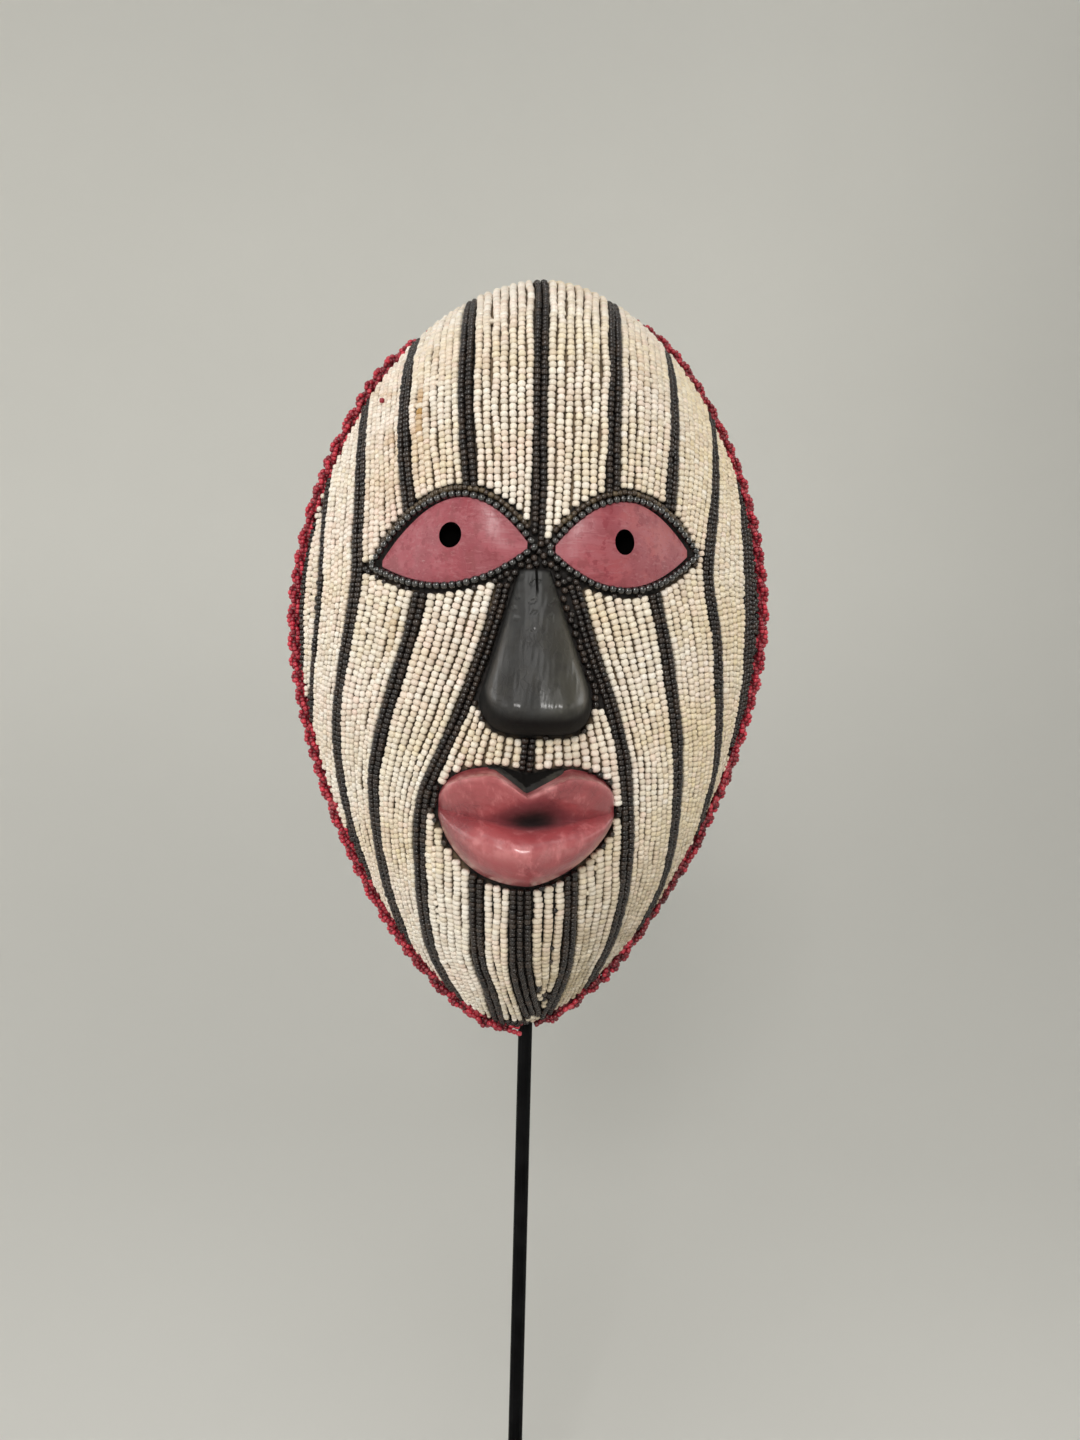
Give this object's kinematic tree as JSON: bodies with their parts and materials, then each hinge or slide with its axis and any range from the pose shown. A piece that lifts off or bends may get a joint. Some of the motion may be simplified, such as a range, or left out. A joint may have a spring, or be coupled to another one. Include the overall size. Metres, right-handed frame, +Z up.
{
  "type": "beaded mask on stand",
  "caption": "Hollow carved wooden face mask covered with rows of glass beads, eyes, nose and lips left bare, a twisted bead rope round its rim, held on a thin rod with a foot plate.",
  "frame": {"origin": "centre of the foot plate's underside, under the rod", "axes": "+Z up, the face looks towards -Y, the rod stands on the Z axis"},
  "size_m": [0.2056, 0.166, 0.57],
  "materials": {
    "carved_wood": "smooth carved wood, painted red at the eyes and lips and black at the nose",
    "white_beads": "opaque glossy glass beads",
    "dark_beads": "opaque glossy glass beads",
    "red_beads": "opaque glossy glass beads",
    "black_steel": "satin black"
  },
  "bodies": {
    "root": {"wooden_mask": "carved_wood", "red_rope_edging": "red_beads", "left_eye_beads": "dark_beads", "left_brow_strand": "dark_beads", "right_eye_beads": "dark_beads", "right_brow_strand": "dark_beads", "black_stripe_centre": "dark_beads", "black_stripe_cheek_left_1": "dark_beads", "black_stripe_cheek_left_2": "dark_beads", "black_stripe_cheek_right_1": "dark_beads", "black_stripe_cheek_right_2": "dark_beads", "black_stripe_chin_centre": "dark_beads", "black_stripe_chin_left": "dark_beads", "black_stripe_chin_right": "dark_beads", "black_stripe_left_1": "dark_beads", "black_stripe_left_2": "dark_beads", "black_stripe_left_3": "dark_beads", "black_stripe_left_4": "dark_beads", "black_stripe_left_rim": "dark_beads", "black_stripe_lip": "dark_beads", "black_stripe_right_1": "dark_beads", "black_stripe_right_2": "dark_beads", "black_stripe_right_3": "dark_beads", "black_stripe_right_rim": "dark_beads", "white_beads_cheek_left_inner": "white_beads", "white_beads_cheek_left_outer": "white_beads", "white_beads_cheek_right_inner": "white_beads", "white_beads_cheek_right_outer": "white_beads", "white_beads_chin_left_inner": "white_beads", "white_beads_chin_left_outer": "white_beads", "white_beads_chin_right_inner": "white_beads", "white_beads_chin_right_outer": "white_beads", "white_beads_forehead_left_inner": "white_beads", "white_beads_forehead_left_middle": "white_beads", "white_beads_forehead_left_outer": "white_beads", "white_beads_forehead_right_inner": "white_beads", "white_beads_forehead_right_middle": "white_beads", "white_beads_forehead_right_outer": "white_beads", "white_beads_lip_left": "white_beads", "white_beads_lip_right": "white_beads", "white_beads_side_left": "white_beads", "white_beads_side_left_outer": "white_beads", "white_beads_side_right": "white_beads", "stand_rod": "black_steel", "stand_base": "black_steel"}
  },
  "joints": []
}
